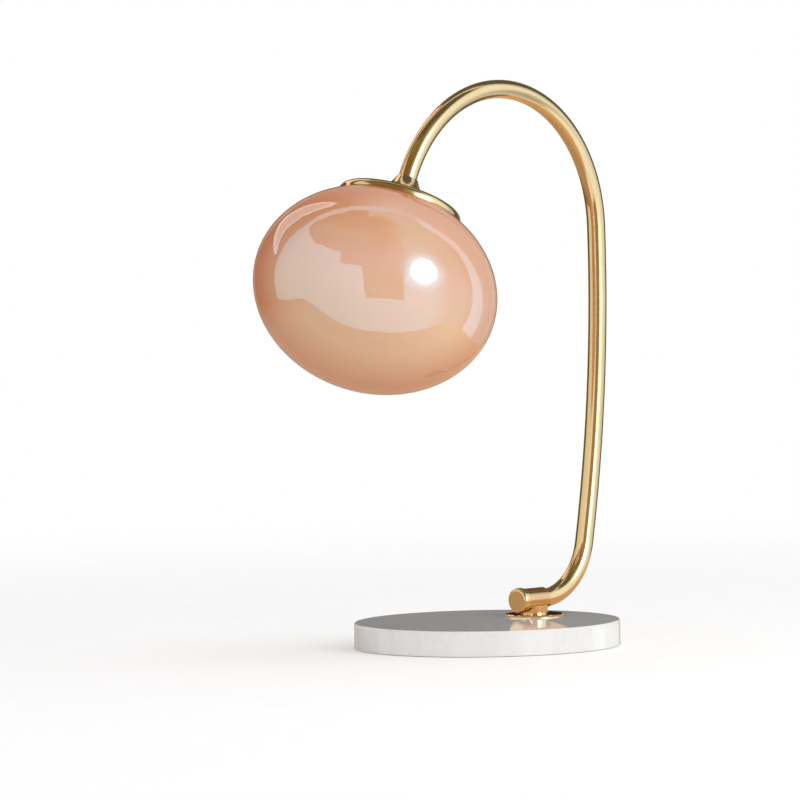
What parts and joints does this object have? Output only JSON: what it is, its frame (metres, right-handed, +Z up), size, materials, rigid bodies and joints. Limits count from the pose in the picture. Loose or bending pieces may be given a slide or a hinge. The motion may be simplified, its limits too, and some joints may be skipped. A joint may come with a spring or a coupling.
{
  "type": "table lamp",
  "caption": "Table lamp: a flattened opal glass globe hangs tilted under a brass cap on an arched brass tube, with a rotary switch at its foot, on a round stone base.",
  "frame": {"origin": "centre of the underside of the felt under the base", "axes": "+Z up; the arm lies in the XZ plane with its foot and back towards +X and the globe towards -X"},
  "size_m": [0.3688, 0.215, 0.4572],
  "materials": {
    "stone": "polished",
    "felt": "matte",
    "brass": "polished",
    "steel": "satin",
    "rubber": "matte",
    "opal_glass": "glossy",
    "black_plastic": "matte",
    "lead_sheath": "satin",
    "ceramic": "matte",
    "bulb_glass": "frosted",
    "emitter": "satin"
  },
  "bodies": {
    "lamp": {"base": "stone", "felt_pad": "felt", "grommet": "rubber", "base_washer": "steel", "base_nut": "steel", "base_rod": "steel", "flange": "brass", "post": "brass", "barrel": "brass", "switch_body": "black_plastic", "switch_ring": "steel", "arm": "brass", "arm_screw": "steel", "arm_lead": "lead_sheath", "collar": "brass", "stem_rod": "steel", "cap": "brass", "spider": "steel", "cap_nut": "steel", "gasket": "rubber", "globe": "opal_glass", "holder_body": "black_plastic", "holder_core": "ceramic", "screw_shell": "brass", "centre_contact": "brass", "bulb_base": "brass", "bulb_glass": "bulb_glass", "bulb_emitter": "emitter"},
    "switch_knob": {"knob": "brass", "knob_shaft": "steel", "knob_screw": "steel"}
  },
  "joints": [
    {"name": "knob_turn", "type": "hinge", "parent": "lamp", "child": "switch_knob", "pos_m": [0.0417, 0, 0.034], "axis": [1, 0, 0], "range_deg": [0, 270]}
  ]
}
